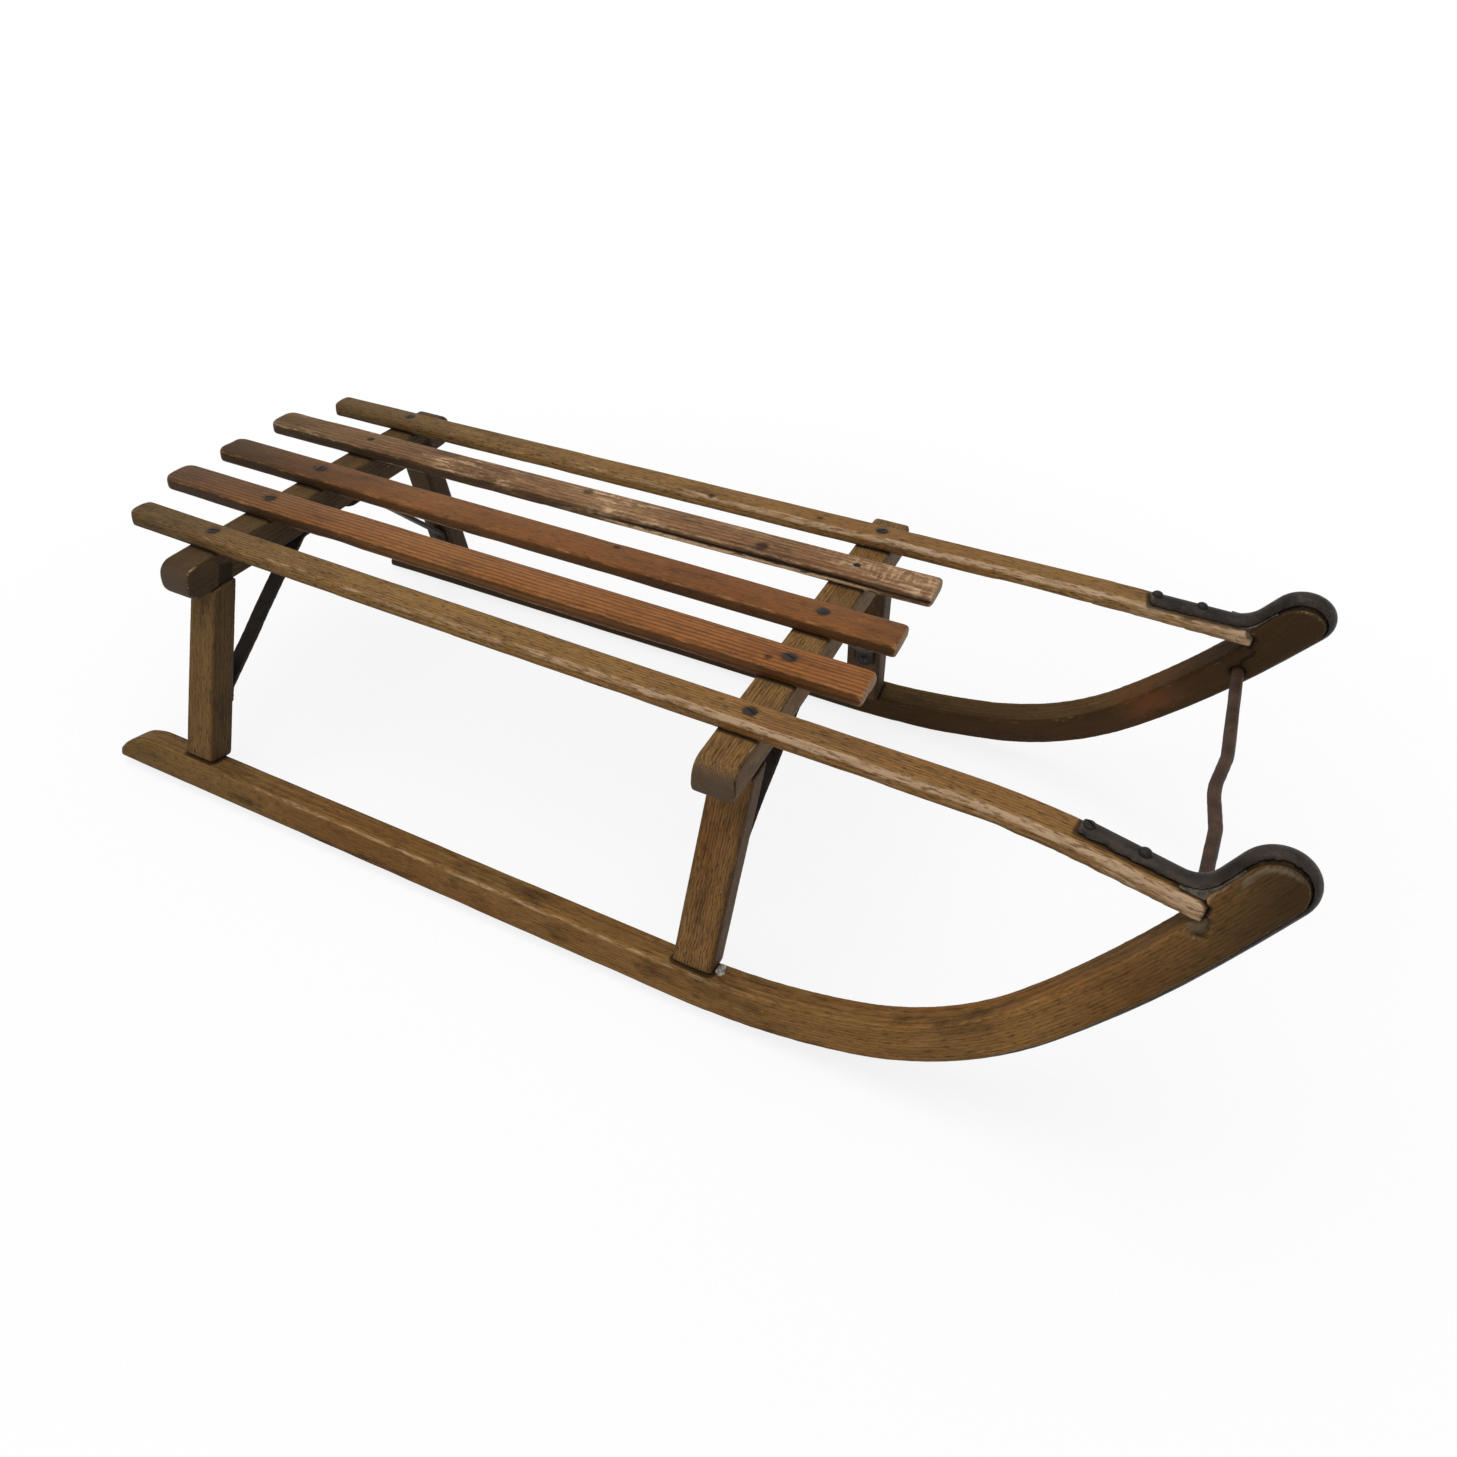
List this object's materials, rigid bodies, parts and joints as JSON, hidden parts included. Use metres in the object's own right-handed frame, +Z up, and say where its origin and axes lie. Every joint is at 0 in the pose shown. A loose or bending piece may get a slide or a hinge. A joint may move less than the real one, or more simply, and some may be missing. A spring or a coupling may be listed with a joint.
{
  "type": "wooden sled",
  "caption": "Bentwood sled: slatted seat on splayed legs, upswept runners shod with half-round irons, flat iron braces and a round draw bar for a rope.",
  "frame": {"origin": "on the ground, below the middle of the sled's length and width", "axes": "+X forward to the curled noses, +Y to the sled's left, +Z up"},
  "size_m": [0.966, 0.4456, 0.2695],
  "materials": {
    "frame_wood": "aged olive-brown ash, worn",
    "slat_wood": "aged reddish-brown, worn",
    "iron": "dark, lightly rusted"
  },
  "bodies": {
    "root": {"brace_front_left": "iron", "brace_front_right": "iron", "brace_rear_left": "iron", "brace_rear_right": "iron", "crossbar_front": "frame_wood", "crossbar_rear": "frame_wood", "draw_bar": "iron", "leg_front_left": "frame_wood", "leg_front_right": "frame_wood", "leg_rear_left": "frame_wood", "leg_rear_right": "frame_wood", "rail_left": "frame_wood", "rail_right": "frame_wood", "runner_iron_left": "iron", "runner_iron_right": "iron", "runner_left": "frame_wood", "runner_right": "frame_wood", "slat_left": "slat_wood", "slat_middle": "slat_wood", "slat_right": "slat_wood"}
  },
  "joints": []
}
